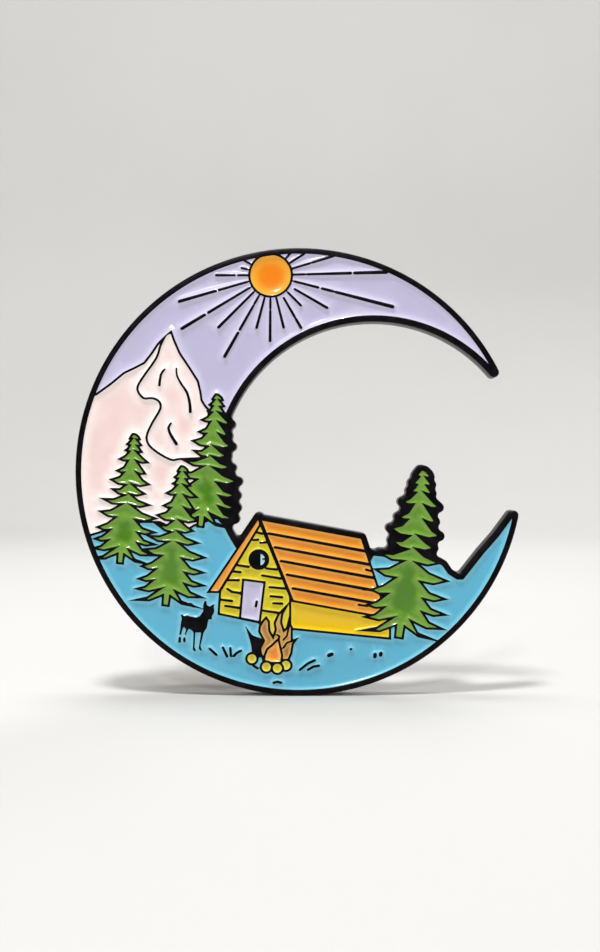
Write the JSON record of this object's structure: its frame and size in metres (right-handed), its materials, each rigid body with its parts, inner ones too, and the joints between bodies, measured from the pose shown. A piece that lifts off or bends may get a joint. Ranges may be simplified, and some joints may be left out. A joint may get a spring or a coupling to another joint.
{
  "type": "enamel pin",
  "caption": "Crescent-shaped soft-enamel pin with a raised-line picture of a camp scene, two pointed posts and sprung butterfly clutches.",
  "frame": {"origin": "on the flat back face, midway between the two posts", "axes": "the picture faces -Y, +Z is its top, +X is its right; the posts point along +Y"},
  "size_m": [0.0416, 0.011, 0.042],
  "materials": {
    "black_nickel": "polished black nickel plate",
    "green_enamel": "glossy soft enamel",
    "pink_enamel": "glossy soft enamel",
    "lilac_enamel": "glossy soft enamel",
    "blue_enamel": "glossy soft enamel",
    "orange_enamel": "glossy soft enamel",
    "yellow_enamel": "glossy soft enamel",
    "tan_enamel": "glossy soft enamel",
    "post_steel": "drawn wire",
    "spring_steel": "spring wire",
    "clutch_brass": "pressed sheet"
  },
  "bodies": {
    "badge": {"base_plate": "black_nickel", "sky_enamel": "lilac_enamel", "sun_enamel": "orange_enamel", "mountain_slope_enamel": "pink_enamel", "mountain_face_enamel": "pink_enamel", "lake_enamel": "blue_enamel", "left_fir_enamel": "green_enamel", "middle_fir_enamel": "green_enamel", "back_fir_enamel": "green_enamel", "right_fir_enamel": "green_enamel", "roof_enamel": "orange_enamel", "bargeboard_enamel": "orange_enamel", "gable_enamel": "yellow_enamel", "side_wall_enamel": "yellow_enamel", "door_enamel": "lilac_enamel", "window_enamel": "blue_enamel", "flame_enamel": "tan_enamel", "ember_enamel": "orange_enamel", "fire_stone_enamel": "yellow_enamel", "upper_post": "post_steel", "lower_post": "post_steel"},
    "upper_clutch": {"upper_clutch_cup": "clutch_brass", "upper_clutch_cover": "clutch_brass", "upper_clutch_spring": "spring_steel"},
    "upper_right_ear": {"upper_clutch_right_ear": "clutch_brass"},
    "upper_left_ear": {"upper_clutch_left_ear": "clutch_brass"},
    "lower_clutch": {"lower_clutch_cup": "clutch_brass", "lower_clutch_cover": "clutch_brass", "lower_clutch_spring": "spring_steel"},
    "lower_right_ear": {"lower_clutch_right_ear": "clutch_brass"},
    "lower_left_ear": {"lower_clutch_left_ear": "clutch_brass"}
  },
  "joints": [
    {"name": "upper_clutch_slide", "type": "slide", "parent": "badge", "child": "upper_clutch", "axis": [0, 1, 0], "range_m": [-0.0018, 0.0085]},
    {"name": "upper_right_ear_squeeze", "type": "slide", "parent": "upper_clutch", "child": "upper_right_ear", "axis": [-1, 0, 0], "range_m": [0, 0.0005], "stiffness_N_per_m": 1000, "springref_m": -0.0003, "deforming": ["upper_clutch_spring"]},
    {"name": "upper_left_ear_squeeze", "type": "slide", "parent": "upper_clutch", "child": "upper_left_ear", "axis": [1, 0, 0], "range_m": [0, 0.0005], "stiffness_N_per_m": 1000, "springref_m": -0.0003},
    {"name": "lower_clutch_slide", "type": "slide", "parent": "badge", "child": "lower_clutch", "axis": [0, 1, 0], "range_m": [-0.0018, 0.0085]},
    {"name": "lower_right_ear_squeeze", "type": "slide", "parent": "lower_clutch", "child": "lower_right_ear", "axis": [-1, 0, 0], "range_m": [0, 0.0005], "stiffness_N_per_m": 1000, "springref_m": -0.0003, "deforming": ["lower_clutch_spring"]},
    {"name": "lower_left_ear_squeeze", "type": "slide", "parent": "lower_clutch", "child": "lower_left_ear", "axis": [1, 0, 0], "range_m": [0, 0.0005], "stiffness_N_per_m": 1000, "springref_m": -0.0003}
  ],
  "couplings": [
    {"joint": "upper_left_ear_squeeze", "follows": "upper_right_ear_squeeze", "ratio": 1},
    {"joint": "lower_left_ear_squeeze", "follows": "lower_right_ear_squeeze", "ratio": 1}
  ]
}
